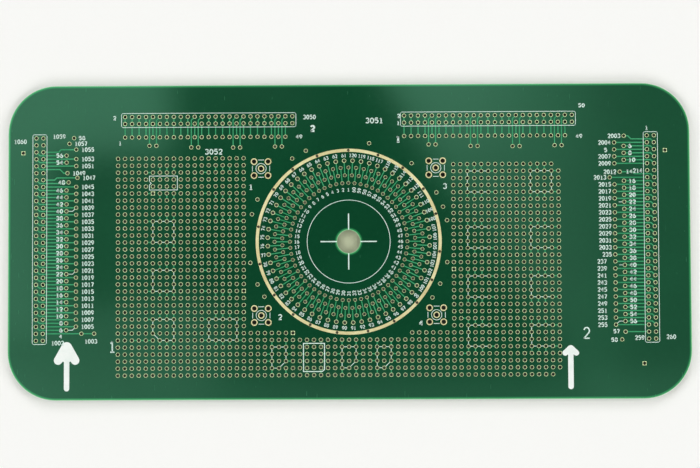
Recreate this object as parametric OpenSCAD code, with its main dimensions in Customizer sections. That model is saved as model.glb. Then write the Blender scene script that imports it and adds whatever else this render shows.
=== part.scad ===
// Bare round-contact test board: a two-sided card with a target pattern of four pad rings in the
// middle, grids of plated holes round it, two 60-way side headers and two 50-way top headers.
// Millimetres, +Z up out of the front face. The origin is the middle of the underside, on the
// axis of the centre hole. The patterns are laid out in steps of one pitch: at(col, row) counts
// columns to the right and rows down from the first hole of the left grid.

/* [Board] */
// Length of the board, along X
board_l = 247.65; // [240:0.05:260]
// Width of the board, along Y
board_w = 114.3; // [108:0.1:125]
// Thickness of the laminate with its solder mask
board_t = 1.6; // [0.8:0.1:3.2]
// Radius of the four corners
corner_r = 17.5; // [5:0.5:20]
// Radius of the hole in the middle
centre_hole_r = 4.2; // [2:0.1:6]

/* [Hole pattern] */
// Step of the grids and headers
pitch = 2.54; // [2.5:0.01:2.58]
// Columns in the grid on the left
left_cols = 19; // [12:1:19]
// Columns in the grid on the right
right_cols = 16; // [12:1:16]
// Rows in the grids beside the rings
side_rows = 25; // [20:1:25]
// Rows in the grid below the rings
lower_rows = 7; // [6:1:7]

/* [Plated holes] */
// Radius of a grid hole
grid_hole_r = 0.52; // [0.35:0.01:0.55]
// Radius of a grid pad
grid_land_r = 0.73; // [0.65:0.01:1]
// Radius of a header hole
header_hole_r = 0.49; // [0.4:0.01:0.55]
// Radius of a header pad
header_land_r = 0.72; // [0.65:0.01:0.95]
// Radius of a hole in the outer circle of pads
outer_hole_r = 0.51; // [0.3:0.01:0.55]
// Radius of a hole in the three circles inside it
ring_hole_r = 0.46; // [0.3:0.01:0.5]
// Radius of a via hole
via_hole_r = 0.5; // [0.2:0.01:0.55]
// Radius of the pad round a via
via_land_r = 0.72; // [0.65:0.01:0.9]
// Side of a square pad
square_land_w = 1.42; // [1.3:0.02:2]

/* [Pad rings] */
// Radius of the outer circle of pads
ring_1_r = 29.4; // [29:0.1:29.8]
// Radius of the second circle of pads
ring_2_r = 26.9; // [26.6:0.1:27.2]
// Radius of the third circle of pads
ring_3_r = 24.1; // [23.8:0.1:24.4]
// Radius of the inner circle of pads
ring_4_r = 21.3; // [21:0.1:21.6]
// Pads in each circle
ring_pads_n = 60; // [30:6:60]
// Radius of a pad in the outer circle
outer_land_r = 0.75; // [0.65:0.01:0.95]
// Radius of a pad in the three circles inside it
inner_land_r = 0.64; // [0.6:0.01:0.9]

/* [Guard ring] */
// Radius of the middle of the bare ring round the pads
guard_r = 33.2; // [32.8:0.1:33.8]
// Width of the bare ring
guard_w = 1.12; // [0.9:0.01:1.8]
// Radius of a via hole in the ring
guard_via_r = 0.35; // [0.2:0.05:0.5]
// Radius of the loose circle of vias outside the ring
outer_via_r = 36.5; // [36:0.1:36.6]

/* [Coax footprints] */
// Distance of each coax footprint from the middle, along X
coax_x = 31.75; // [31:0.05:32.2]
// Distance of each coax footprint from the middle, along Y
coax_y = 26.67; // [26:0.01:27]
// Half the spacing of the four ground pins
coax_pin_s = 2.54; // [2.4:0.01:2.7]
// Radius of a ground pin hole
coax_pin_r = 0.76; // [0.5:0.01:0.9]
// Radius of a ground pin pad
coax_land_r = 1.2; // [1:0.01:1.4]
// Radius of the middle pin hole
coax_core_r = 0.74; // [0.5:0.01:0.8]
// Radius of the middle pin pad
coax_core_land_r = 1.16; // [1:0.01:1.3]
// Radius of the circle printed round the middle pin
coax_mark_r = 1.86; // [1.8:0.01:2]
// Length of the bars printed between the ground pins
coax_bar_l = 2.1; // [1.4:0.05:2.4]

/* [Headers] */
// X of the left header's axis
left_header_x = -112.35; // [-113:0.05:-112]
// X of the right header's axis
right_header_x = 109.65; // [109:0.05:110]
// Pins along each side header
side_pins = 30; // [20:1:30]
// Pins along each top header
top_pins = 25; // [25:6:25]
// Y of the top headers' axis
top_header_y = 44.45; // [44:0.05:45]
// Distance of the top headers' axes from the middle, along X
top_header_x = 50.8; // [50:0.1:51]
// Gap from the pad centres to the printed outline round a header
outline_gap = 1.3; // [1.25:0.05:1.5]

/* [Tracks and print] */
// Thickness of the copper and plating of a pad
land_t = 0.06; // [0.03:0.01:0.2]
// Height of a mask-covered track above the board
track_t = 0.05; // [0.03:0.01:0.15]
// Width of a header track
track_w = 0.4; // [0.2:0.01:0.6]
// Width of a track in the grids and rings
fine_track_w = 0.36; // [0.2:0.01:0.5]
// Thickness of the printed ink
ink_t = 0.03; // [0.02:0.01:0.1]
// Width of the lines printed round headers, coax footprints and the target
outline_w = 0.2; // [0.12:0.01:0.5]
// Width of a printed chip outline
chip_line_w = 0.22; // [0.12:0.01:0.4]
// Width of the outline printed round the boxed chip
boxed_line_w = 0.32; // [0.2:0.01:0.4]
// Radius of the printed circle round the centre hole
target_r = 15.06; // [12:0.02:18]
// Reach of the printed cross from the middle
cross_r = 10.15; // [8:0.05:12]
// Width of the arms of the printed cross
cross_w = 0.42; // [0.2:0.02:0.6]

/* [Printed arrows] */
// X of the left arrow's tip
left_arrow_x = -102.4; // [-103:0.1:-101]
// Y of the left arrow's tip
left_arrow_y = -37.6; // [-38:0.1:-37]
// Length of the left arrow from its tip to its foot
left_arrow_l = 15.3; // [12:0.1:15.3]
// Half the spread of the left arrow's barbs
left_arrow_spread = 3.1; // [2.4:0.1:3.4]
// Drop of the left arrow's barbs below its tip
left_arrow_drop = 5.1; // [2:0.1:5.5]
// Half the thickness of the left arrow's barbs
left_arrow_fat = 1.55; // [1:0.05:1.6]
// Radius of the left arrow's blunt tip
left_arrow_tip_r = 1.95; // [1:0.05:2]
// X of the right arrow's tip
right_arrow_x = 80.1; // [80.1:0.1:82]
// Y of the right arrow's tip
right_arrow_y = -38.8; // [-39:0.1:-38]
// Length of the right arrow from its tip to its foot
right_arrow_l = 13.9; // [12:0.1:14]
// Half the spread of the right arrow's barbs
right_arrow_spread = 2; // [1.6:0.05:2.1]
// Drop of the right arrow's barbs below its tip
right_arrow_drop = 1.8; // [1.5:0.1:3]
// Half the thickness of the right arrow's barbs
right_arrow_fat = 1; // [0.8:0.05:1]
// Radius of the right arrow's blunt tip
right_arrow_tip_r = 1.2; // [0.8:0.05:1.3]
// Width of an arrow's stem
arrow_stem_w = 1.96; // [1.6:0.02:2.2]

/* [Hidden] */

mask_green = "#1d6b45";
track_green = "#3f9c6a";
plated_gold = "#d8c48c";
ink_white = "#eef3ee";

hole_fn = 24;
round_fn = 96;
print_gap = 0.06;                 // bare strip between a pad and the print beside it
grid_cols = 64;                   // columns across the whole board
centre_col = 33;                  // the column and row that cross on the middle of the board
centre_row = 12;
right_first = grid_cols - right_cols;
side_first_row = -3;              // the row of a side header's top pins
coax_scale = [[-1, 1], [-1, -1], [1, 1], [1, -1]];
guard_via_angles = [0, 19, 36.5, 55, 72.5, 96.5, 115, 132, 150.5, 168, 187.5, 205, 217.5, 234.5,
  256, 279.5, 305, 322.5, 340];
outer_via_angles = [12, 39, 61, 70, 78, 102, 115, 124, 237, 245, 258, 286, 295, 326, 335];

function at(col, row) = [(col - centre_col) * pitch, (centre_row - row) * pitch];
function col_of(x) = centre_col + x / pitch;
function row_of(y) = centre_row - y / pitch;
// A point on a circle, with the angle clockwise from the top
function on_ring(r, angle) = [r * sin(angle), r * cos(angle)];

// ---- Places of the plated holes ----

// Grid places that hold a square pad instead of a round one
square_grid = [[5, 5], [18, 19], [48, 16], [25, 25]];
function is_square(col, row) = len([for (s = square_grid) if (s == [col, row]) s]) > 0;
function block(cols, rows) =
  [for (row = rows, col = cols) if (!is_square(col, row)) at(col, row)];

left_grid = block([0:left_cols - 1], [0:side_rows - 1]);
right_grid = [
  for (row = [1:side_rows - 1], col = [right_first:grid_cols - 1])
    if (!is_square(col, row) && [col, row] != [grid_cols - 1, 1]) at(col, row)
];
lower_top = block([0:25], [25:25]);
lower_top_right = block([42:grid_cols - 1], [25:25]);
lower_grid = concat(
  lower_top, lower_top_right,
  block([0:grid_cols - 1], [26:24 + lower_rows - 1]),
  block([0:grid_cols - 2], [24 + lower_rows:24 + lower_rows])
);

ring_step = 360 / ring_pads_n;
function ring(r, shift) = [for (i = [0:ring_pads_n - 1]) on_ring(r, (i + shift) * ring_step)];
outer_ring = ring(ring_1_r, 0.5);
second_ring = ring(ring_2_r, 0);
third_ring = ring(ring_3_r, 0.5);
inner_ring = ring(ring_4_r, 0);

ground_vias = [for (a = outer_via_angles) on_ring(outer_via_r, a)];
guard_vias = [for (a = guard_via_angles) on_ring(guard_r, a)];

// Two columns or rows of pins on the header's axis
function side_header(x) = [
  for (row = [0:side_pins - 1], side = [-0.5, 0.5])
    [x + side * pitch, at(0, side_first_row + row)[1]]
];
function top_header(x) = [
  for (i = [0:top_pins - 1], side = [-0.5, 0.5])
    [x + (i - (top_pins - 1) / 2) * pitch, top_header_y + side * pitch]
];

// The left breakout: near pads take the outer pins' tracks, far pads the inner pins' tracks
left_col = col_of(left_header_x);
near_left = left_col + 3.84;
far_left = left_col + 5.23;
last_row = side_first_row + side_pins - 3;
main_rows = [for (row = [4:last_row]) row];   // the rows whose tracks run straight to their pads
left_near = [
  for (row = concat([-1, 0], main_rows)) [near_left, row + 0.5],
  [near_left + 0.13, 2.03], [near_left + 0.3, 3.35]
];
left_far = [
  for (row = concat([0, 1], main_rows)) [far_left, row],
  [far_left, -1.35], [far_left + 0.18, 2.7]
];
left_loose = [[left_col + 4.9, -3], [left_col + 4.25, -2.2]];
left_supply = [[left_col + 6.02, last_row + 1], [left_col + 7.84, last_row + 1]];

// The right breakout is laid out the same way, with its near pads half a row higher
right_col = col_of(right_header_x);
near_right = right_col - 3.82;
far_right = right_col - 5.17;
right_near = [
  for (row = concat([-1, 0, 1], main_rows)) [near_right, row - 0.5],
  [near_right + 0.03, -2.95], [near_right - 0.6, 2.2]
];
right_far = [
  for (row = concat([-2, -1, 0, 1], main_rows)) [far_right, row],
  [far_right - 0.68, 3]
];
right_loose = [[near_right - 0.5, last_row + 2.1]];
right_supply = [[near_right, last_row + 1]];

function placed(spots) = [for (s = spots) at(s[0], s[1])];
left_breakout = placed(concat(left_near, left_far, left_loose, left_supply));
right_breakout = placed(concat(right_near, right_far, right_loose, right_supply));

// A top breakout: one pad under each pin but the last, and a lower pair in each group of six
group_n = 6;
groups = floor(top_pins / group_n);
breakout_row = -3.07;
pair_rows = [-1.85, -1.6, -1.55, -1.65];
function first_col(x) = col_of(x) - (top_pins - 1) / 2;
function under_pins(x) =
  [for (i = [0:top_pins - 2]) at(first_col(x) + i, breakout_row)];
function lower_pairs(x) =
  [for (g = [0:groups - 1], k = [0, 1]) at(first_col(x) + g * group_n + 3.5 + k, pair_rows[g])];
function top_breakout(x) = concat(under_pins(x), lower_pairs(x));

loose_squares = [at(left_col - 2.38, -0.87), at(right_col + 2.06, -0.87), at(right_col - 1.18, 29.5)];
squares = concat([for (s = square_grid) at(s[0], s[1])], loose_squares);

function coax_spot(i) = [coax_scale[i][0] * coax_x, coax_scale[i][1] * coax_y];
coax_pins = [for (s = coax_scale) s * coax_pin_s];

// ---- Ribbons: tracks and printed lines of even width ----

function unit(v) = v / norm(v);
function turned(v) = [-v[1], v[0]];
// Sideways step at point i of a path that keeps the ribbon's width round a bend
function side_step(p, i, w) =
  let (
    before = unit(p[max(i, 1)] - p[max(i, 1) - 1]),
    after = unit(p[min(i, len(p) - 2) + 1] - p[min(i, len(p) - 2)]),
    middle = unit(turned(before) + turned(after))
  )
  middle * w / 2 / (middle * turned(before));
// A path shortened at its two ends, so that it stops at the rims of the pads it joins
function between_rims(p, from_r, to_r) =
  let (n = len(p) - 1, first = p[0] + unit(p[1] - p[0]) * from_r, last = p[n] + unit(p[n - 1] - p[n]) * to_r)
  [for (i = [0:n]) i == 0 ? first : i == n ? last : p[i]];

module ribbon(p, w) {
  n = len(p) - 1;
  polygon(concat(
    [for (i = [0:n]) p[i] + side_step(p, i, w)],
    [for (i = [n:-1:0]) p[i] - side_step(p, i, w)]
  ));
}

module track(spots, from_r, to_r, w) {
  translate([0, 0, board_t])
    linear_extrude(track_t) ribbon(between_rims(placed(spots), from_r, to_r), w);
}

module rounded_rect(size, r) {
  square([size[0] - 2 * r, size[1]], center = true);
  square([size[0], size[1] - 2 * r], center = true);
  for (sx = [-1, 1], sy = [-1, 1])
    translate([sx * (size[0] / 2 - r), sy * (size[1] / 2 - r)]) circle(r, $fn = round_fn);
}

// ---- Board ----

module drilled(places, r) {
  for (p = places) translate(p) circle(r, $fn = hole_fn);
}

module board() {
  color(mask_green) linear_extrude(board_t) difference() {
    rounded_rect([board_l, board_w], corner_r);
    circle(centre_hole_r, $fn = round_fn);
    drilled(concat(left_grid, right_grid, lower_grid, squares), grid_hole_r);
    drilled(outer_ring, outer_hole_r);
    drilled(concat(second_ring, third_ring, inner_ring), ring_hole_r);
    drilled(concat(side_header(left_header_x), side_header(right_header_x)), header_hole_r);
    drilled(concat(top_header(-top_header_x), top_header(top_header_x)), header_hole_r);
    drilled(concat(left_breakout, right_breakout), header_hole_r);
    drilled(concat(top_breakout(-top_header_x), top_breakout(top_header_x)), header_hole_r);
    drilled(ground_vias, via_hole_r);
    drilled(guard_vias, guard_via_r);
    for (i = [0:3]) translate(coax_spot(i)) {
      drilled(coax_pins, coax_pin_r);
      circle(coax_core_r, $fn = hole_fn);
    }
  }
}

// ---- Pads ----

module on_top(t) {
  translate([0, 0, board_t]) linear_extrude(t) children();
}

module lands(places, land_r, hole_r) {
  color(plated_gold) for (p = places) translate(p) on_top(land_t) difference() {
    circle(land_r, $fn = hole_fn);
    circle(hole_r, $fn = hole_fn);
  }
}

module square_pads() {
  color(plated_gold) for (p = squares) translate(p) on_top(land_t) difference() {
    square(square_land_w, center = true);
    circle(grid_hole_r, $fn = hole_fn);
  }
}

module guard_ring() {
  color(plated_gold) on_top(land_t) difference() {
    circle(guard_r + guard_w / 2, $fn = round_fn);
    circle(guard_r - guard_w / 2, $fn = round_fn);
    drilled(guard_vias, guard_via_r);
  }
}

module coax_pads(i) {
  translate(coax_spot(i)) {
    lands(coax_pins, coax_land_r, coax_pin_r);
    lands([[0, 0]], coax_core_land_r, coax_core_r);
  }
}

// ---- Tracks ----

// Where a header pin's track turns, half a pitch from the pin each way
side_turn = 0.5;

module left_header_tracks() {
  outer = left_col - 0.5;
  inner = left_col + 0.5;
  pin_r = header_land_r;
  color(track_green) {
    for (row = concat([-1, 0], main_rows))
      track([[outer, row], [outer + side_turn, row + 0.5], [near_left, row + 0.5]], pin_r, pin_r, track_w);
    for (row = concat([0, 1], main_rows))
      track([[inner, row], [far_left, row]], pin_r, pin_r, track_w);
    track([[inner, -1], [inner + 2.2, -1], [inner + 2.55, -1.35], [far_left, -1.35]], pin_r, pin_r, track_w);
    track([[inner, 3], [inner + 1.65, 3], [inner + 1.95, 2.7], [far_left + 0.18, 2.7]],
      pin_r, pin_r, track_w);
    track([[outer, 1], [outer + side_turn, 1.5], [outer + 3.4, 1.5], [outer + 3.93, 2.03],
      [near_left + 0.13, 2.03]], pin_r, pin_r, track_w);
    track([[outer, 3], [outer + side_turn, 3.5], [near_left - 0.35, 3.5], [near_left - 0.2, 3.35],
      [near_left + 0.3, 3.35]], pin_r, pin_r, track_w);
    track([[inner, last_row + 1], left_supply[0]], pin_r, pin_r, track_w);
    track([left_supply[0], left_supply[1]], pin_r, pin_r, track_w);
  }
}

module right_header_tracks() {
  inner = right_col - 0.5;
  outer = right_col + 0.5;
  pin_r = header_land_r;
  color(track_green) {
    for (row = concat([-1, 0, 1], main_rows))
      track([[outer, row], [outer - side_turn, row - 0.5], [near_right, row - 0.5]], pin_r, pin_r, track_w);
    for (row = concat([-2, -1, 0, 1], main_rows))
      track([[inner, row], [far_right, row]], pin_r, pin_r, track_w);
    track([[inner, 3], [far_right - 0.68, 3]], pin_r, pin_r, track_w);
    track([[outer, -2], [outer - side_turn, -2.5], [near_right + 1.05, -2.5], [near_right + 0.6, -2.95],
      [near_right + 0.03, -2.95]], pin_r, pin_r, track_w);
    track([[outer, 3], [outer - side_turn, 2.5], [near_right + 1.5, 2.5], [near_right + 1.2, 2.2],
      [near_right - 0.6, 2.2]], pin_r, pin_r, track_w);
    track([[inner, last_row + 1], right_supply[0]], pin_r, pin_r, track_w);
  }
}

// Each group of six pins: four straight through both rows, then two that slip past the lower row
module top_tracks(x) {
  upper = row_of(top_header_y) - 0.5;
  lower = upper + 1;
  pin_r = header_land_r;
  color(track_green) {
    for (i = [0:top_pins - 2])
      track([[first_col(x) + i, lower], [first_col(x) + i, breakout_row]], pin_r, pin_r, fine_track_w);
    for (g = [0:groups - 1]) {
      first = first_col(x) + g * group_n;
      for (i = [0:3])
        track([[first + i, upper], [first + i, lower]], pin_r, pin_r, fine_track_w);
      for (k = [0, 1])
        track([[first + 4 + k, upper], [first + 3.5 + k, upper + 0.5], [first + 3.5 + k, pair_rows[g]]],
          pin_r, pin_r, fine_track_w);
    }
  }
}

// Each pad is joined to the pad at the same angle two circles further in
module ring_tracks() {
  color(track_green) for (i = [0:ring_pads_n - 1]) {
    rotate(-(i + 0.5) * ring_step) radial_track(ring_3_r + inner_land_r, ring_1_r - outer_land_r);
    rotate(-i * ring_step) radial_track(ring_4_r + inner_land_r, ring_2_r - inner_land_r);
  }
}

module radial_track(from_r, to_r) {
  on_top(track_t) translate([-fine_track_w / 2, from_r]) square([fine_track_w, to_r - from_r]);
}

function land_reach(spot) = is_square(spot[0], spot[1]) ? square_land_w / 2 : grid_land_r;

module grid_track(from, to) {
  track([from, to], land_reach(from), land_reach(to), fine_track_w);
}

// Chips in the side grids are four rows tall, and those in the lower grid stand on end
chip_rows = 3;
left_chips = [[5, 8, 2], [13, 16, 2], [5, 8, 9], [13, 17, 9], [5, 8, 16], [13, 16, 16], [5, 8, 23],
  [13, 17, 23]];
right_chip_cols = [50, 59];
right_chip_rows = [2, 10, 17, 24];
lower_chip_cols = [22, 27, 32, 37];
lower_chip_row = 27;

module left_grid_tracks() {
  color(track_green) {
    for (chip = left_chips, row = [chip[2], chip[2] + chip_rows]) {
      out = row == chip[2] ? -1 : 1;
      grid_track([chip[0] - 1, row], [chip[0], row]);
      for (col = [chip[0] + 1:min(chip[1], chip[0] + 3)]) grid_track([col, row], [col, row + out]);
      if (chip[1] > chip[0] + 3) grid_track([chip[1], row], [chip[1] + 1, row]);
    }
    for (col = [2, 3]) grid_track([col, 26], [col + 1, 26]);
  }
}

module right_grid_tracks() {
  color(track_green) {
    for (first = right_chip_cols, top = right_chip_rows, row = [top, top + chip_rows]) {
      out = row == top ? -1 : 1;
      for (col = [first:first + 2]) grid_track([col, row], [col, row + out]);
      grid_track([first + 3, row], [first + 4, row]);
    }
    for (row = [23, 28]) grid_track([49, row], [50, row]);
  }
}

module lower_grid_tracks() {
  color(track_green) for (first = lower_chip_cols, col = [first, first + 2]) {
    out = col == first ? -1 : 1;
    grid_track([col, lower_chip_row - 1], [col, lower_chip_row]);
    grid_track([col, lower_chip_row + chip_rows], [col, lower_chip_row + chip_rows + 1]);
    for (row = [lower_chip_row + 1, lower_chip_row + 2]) grid_track([col, row], [col + out, row]);
  }
}

// ---- Print ----

// Printed shapes lie on the mask, and drape over the tracks that are given as children
module printed() {
  color(ink_white) difference() {
    on_top(track_t + ink_t) children(0);
    if ($children > 1) children(1);
  }
}

module frame_outline(size) {
  difference() {
    rounded_rect(size + [outline_w, outline_w], 0.8);
    rounded_rect(size - [outline_w, outline_w], 0.4);
  }
}

module side_outline(x) {
  translate([x, at(0, side_first_row + (side_pins - 1) / 2)[1]])
    frame_outline([pitch + 2 * outline_gap, (side_pins - 1) * pitch + 2 * outline_gap]);
}

module top_outline(x) {
  translate([x, top_header_y])
    frame_outline([(top_pins - 1) * pitch + 2 * outline_gap, pitch + 2 * outline_gap]);
}

// A printed line between two pads, stopping short of both
module printed_link(spots, w) {
  p = between_rims(placed(spots), header_land_r + print_gap, header_land_r + print_gap);
  on_top(ink_t) ribbon(p, w);
}

module left_jumper_marks() {
  color(ink_white) for (row = [7, 16, 24])
    printed_link([[near_left, row + 0.5], [far_left - 0.5, row + 0.5], [far_left, row]], outline_w);
}

module right_jumper_marks() {
  color(ink_white) {
    for (row = [7, 16])
      on_top(ink_t) translate(at(near_right, row - 0.5) - [header_land_r + print_gap, outline_w / 2])
        translate([-1.2, 0]) square([1.2, outline_w]);
    printed_link([[near_right, 23.5], [far_right + 0.5, 23.5], [far_right, 24]], outline_w);
  }
}

module target_mark() {
  arm = cross_r - centre_hole_r;
  color(ink_white) on_top(ink_t) {
    difference() {
      circle(target_r + outline_w / 2, $fn = round_fn);
      circle(target_r - outline_w / 2, $fn = round_fn);
    }
    for (a = [0:90:270]) rotate(a) translate([centre_hole_r + arm / 2 + print_gap, 0])
      square([arm, cross_w], center = true);
  }
}

module coax_outline(i) {
  color(ink_white) translate(coax_spot(i)) on_top(ink_t) {
    difference() {
      circle(coax_mark_r + outline_w / 2, $fn = round_fn);
      circle(coax_mark_r - outline_w / 2, $fn = round_fn);
    }
    for (a = [0:90:270]) rotate(a) translate([coax_pin_s + 0.6, 0])
      square([outline_w, coax_bar_l], center = true);
  }
}

// A printed line along a row or column of the grid, left out where it would cross a pad
module chip_side(from, to) {
  steps = norm(to - from);
  way = (to - from) / steps;
  for (i = [0:steps - 1]) {
    p = placed([from + way * i, from + way * (i + 1)]);
    on_top(ink_t) ribbon(between_rims(p, grid_land_r + print_gap, grid_land_r + print_gap), chip_line_w);
  }
}

module chip_box(first, last, top, bottom) {
  chip_side([first, top], [last, top]);
  chip_side([first, top], [first, bottom]);
  chip_side([first, bottom], [last, bottom]);
  chip_side([last, top], [last, bottom]);
}

module left_chip_outlines() {
  color(ink_white) {
    notched_box();
    for (top = [9, 16]) chip_box(5, 8, top, top + chip_rows);
    chip_box(13, 17, 23, 23 + chip_rows);
    chip_side([5, 23], [8, 23]);
    chip_side([5, 23], [5, 25]);
    chip_side([8, 23], [8, 26]);
    chip_side([6, 26], [8, 26]);
    corner_cut([5, 25], [6, 26]);
  }
}

// The slanted corner that marks a chip's first pin
module corner_cut(from, to) {
  rim = grid_land_r + print_gap;
  on_top(ink_t) ribbon(between_rims(placed([from, to]), rim, rim), chip_line_w);
}

// The only chip outline drawn round its pads, with a notch at its left end
module notched_box() {
  on_top(ink_t) ribbon(placed([
    [4.5, 3.3], [4.5, 2.5], [8.5, 2.5], [8.5, 4.5], [4.5, 4.5], [4.5, 3.8], [4.75, 3.55], [4.57, 3.37],
  ]), chip_line_w);
}

module right_chip_outlines() {
  color(ink_white) {
    for (first = right_chip_cols, top = right_chip_rows) {
      chip_side([first, top], [first + 3, top]);
      chip_side([first, top], [first, top + chip_rows]);
      chip_side([first, top + chip_rows], [first + 3, top + chip_rows]);
    }
    chip_side([right_chip_cols[1] + 3, 2], [right_chip_cols[1] + 3, 2 + chip_rows]);
  }
}

module lower_chip_outlines() {
  top = lower_chip_row;
  bottom = lower_chip_row + chip_rows;
  for (first = [for (col = lower_chip_cols) if (col != boxed_chip) col]) color(ink_white) {
    chip_side([first, top], [first + 2, top]);
    chip_side([first, top], [first, bottom]);
    chip_side([first + 2, top], [first + 2, bottom - 1]);
    chip_side([first, bottom], [first + 1, bottom]);
    corner_cut([first + 2, bottom - 1], [first + 1, bottom]);
  }
  printed() {
    ribbon(placed([
      [boxed_chip + 1, top - 0.5], [boxed_chip - 0.5, top - 0.5], [boxed_chip - 0.5, bottom + 0.5],
      [boxed_chip + 2.2, bottom + 0.5], [boxed_chip + 2.5, bottom + 0.2],
      [boxed_chip + 2.5, top - 0.5], [boxed_chip + 1.03, top - 0.5],
    ]), boxed_line_w);
    lower_grid_tracks();
  }
}

// The chip in the lower grid whose outline runs round its pads
boxed_chip = lower_chip_cols[1];

// A fat rounded arrow that points up: its tip, the spread and drop of its barbs, and its length
module arrow(tip, spread, drop, reach, fat, tip_r) {
  color(ink_white) translate(tip) on_top(ink_t) {
    for (side = [-1, 1]) hull() {
      translate([0, fat - tip_r]) circle(tip_r, $fn = 32);
      translate([side * spread, -drop]) circle(fat, $fn = 32);
    }
    polygon([
      [0, 0], [-spread, -drop], [-arrow_stem_w / 2, -drop - fat / 3],
      [arrow_stem_w / 2, -drop - fat / 3], [spread, -drop],
    ]);
    translate([0, -reach]) circle(arrow_stem_w / 2, $fn = 32);
    translate([-arrow_stem_w / 2, -reach]) square([arrow_stem_w, reach]);
  }
}

// ---- Sub-parts ----

module left_grid_pads() { lands(left_grid, grid_land_r, grid_hole_r); }
module right_grid_pads() { lands(right_grid, grid_land_r, grid_hole_r); }
module lower_grid_pads() { lands(lower_grid, grid_land_r, grid_hole_r); }
module outer_ring_pads() { lands(outer_ring, outer_land_r, outer_hole_r); }
module second_ring_pads() { lands(second_ring, inner_land_r, ring_hole_r); }
module third_ring_pads() { lands(third_ring, inner_land_r, ring_hole_r); }
module inner_ring_pads() { lands(inner_ring, inner_land_r, ring_hole_r); }
module ground_via_pads() { lands(ground_vias, via_land_r, via_hole_r); }
module header_pads(places) { lands(places, header_land_r, header_hole_r); }
module left_header_pads() { header_pads(side_header(left_header_x)); }
module right_header_pads() { header_pads(side_header(right_header_x)); }
module top_left_header_pads() { header_pads(top_header(-top_header_x)); }
module top_right_header_pads() { header_pads(top_header(top_header_x)); }
module left_breakout_pads() { header_pads(left_breakout); }
module right_breakout_pads() { header_pads(right_breakout); }
module top_left_breakout_pads() { header_pads(top_breakout(-top_header_x)); }
module top_right_breakout_pads() { header_pads(top_breakout(top_header_x)); }
module top_left_tracks() { top_tracks(-top_header_x); }
module top_right_tracks() { top_tracks(top_header_x); }
module left_header_outline() { printed() { side_outline(left_header_x); left_header_tracks(); } }
module right_header_outline() { printed() { side_outline(right_header_x); right_header_tracks(); } }
module top_left_outline() { printed() { top_outline(-top_header_x); top_left_tracks(); } }
module top_right_outline() { printed() { top_outline(top_header_x); top_right_tracks(); } }
module left_arrow() {
  arrow([left_arrow_x, left_arrow_y], left_arrow_spread, left_arrow_drop, left_arrow_l,
    left_arrow_fat, left_arrow_tip_r);
}
module right_arrow() {
  arrow([right_arrow_x, right_arrow_y], right_arrow_spread, right_arrow_drop, right_arrow_l,
    right_arrow_fat, right_arrow_tip_r);
}

board();
left_grid_pads();
right_grid_pads();
lower_grid_pads();
outer_ring_pads();
second_ring_pads();
third_ring_pads();
inner_ring_pads();
guard_ring();
ground_via_pads();
square_pads();
coax_pads(0);  // coax_pads_1
coax_pads(1);  // coax_pads_2
coax_pads(2);  // coax_pads_3
coax_pads(3);  // coax_pads_4
left_header_pads();
right_header_pads();
top_left_header_pads();
top_right_header_pads();
left_breakout_pads();
right_breakout_pads();
top_left_breakout_pads();
top_right_breakout_pads();
left_header_tracks();
right_header_tracks();
top_left_tracks();
top_right_tracks();
ring_tracks();
left_grid_tracks();
right_grid_tracks();
lower_grid_tracks();
left_header_outline();
right_header_outline();
top_left_outline();
top_right_outline();
left_jumper_marks();
right_jumper_marks();
target_mark();
coax_outline(0);  // coax_outline_1
coax_outline(1);  // coax_outline_2
coax_outline(2);  // coax_outline_3
coax_outline(3);  // coax_outline_4
left_chip_outlines();
right_chip_outlines();
lower_chip_outlines();
left_arrow();
right_arrow();
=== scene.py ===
"""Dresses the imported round-contact test board, then lights it.

The laminate, pads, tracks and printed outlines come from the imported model. This script gives each of
them its finish, and adds what the model leaves out: the plated walls and back lands of the holes, and
the printed pin numbers. Everything is in metres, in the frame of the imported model.
"""

from __future__ import annotations

import logging
import math
from dataclasses import dataclass, field, replace
from enum import Enum
from itertools import repeat
from statistics import fmean
from typing import Iterable, Sequence, Union

import bmesh
import bpy
import numpy as np
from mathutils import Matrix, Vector

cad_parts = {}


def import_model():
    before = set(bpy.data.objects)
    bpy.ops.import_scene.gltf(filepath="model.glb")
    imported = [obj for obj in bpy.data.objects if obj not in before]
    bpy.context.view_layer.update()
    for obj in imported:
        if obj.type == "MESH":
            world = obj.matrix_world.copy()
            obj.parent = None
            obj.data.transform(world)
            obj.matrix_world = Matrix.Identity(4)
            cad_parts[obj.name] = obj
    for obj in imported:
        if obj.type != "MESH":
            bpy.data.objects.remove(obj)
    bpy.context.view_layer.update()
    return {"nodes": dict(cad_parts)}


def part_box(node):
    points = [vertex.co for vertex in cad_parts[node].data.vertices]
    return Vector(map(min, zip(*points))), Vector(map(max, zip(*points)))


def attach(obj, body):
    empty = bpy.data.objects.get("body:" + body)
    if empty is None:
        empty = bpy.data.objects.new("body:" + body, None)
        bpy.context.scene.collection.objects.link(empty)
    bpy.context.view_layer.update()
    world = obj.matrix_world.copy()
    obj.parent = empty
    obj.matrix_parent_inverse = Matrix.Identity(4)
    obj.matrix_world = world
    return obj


LOG = logging.getLogger("test_board")
MM = 0.001

Colour = tuple[float, float, float, float]
Point = tuple[float, float]
Spot = tuple[float, float, float]
Stroke = list[Point]
Source = Union[bpy.types.Node, bpy.types.NodeSocket, float, Sequence[float]]

CENTRE: Point = (0.0, 0.0)
WHITE: Colour = (1.0, 1.0, 1.0, 1.0)
# What gloss on the mask keeps of the light
MASK_TINT: Colour = (0.37, 1.0, 0.66, 1.0)


class Slot(Enum):
    """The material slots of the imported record."""

    MASK = "solder_mask"
    PLATING = "plated_copper"
    TRACKS = "covered_tracks"
    INK = "printed_ink"


class Coat(Enum):
    """The finishes of the board, by the name of each material."""

    MASK = "solder_mask_gloss"
    TRACKS = "covered_track"
    RING = "wide_plating"
    PADS = "pad_plating"
    # The plating in the holes, coloured dark as painted shade
    BARRELS = "barrel_painted_shade"
    BOLD_INK = "bold_ink"
    FINE_INK = "fine_ink"


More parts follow.
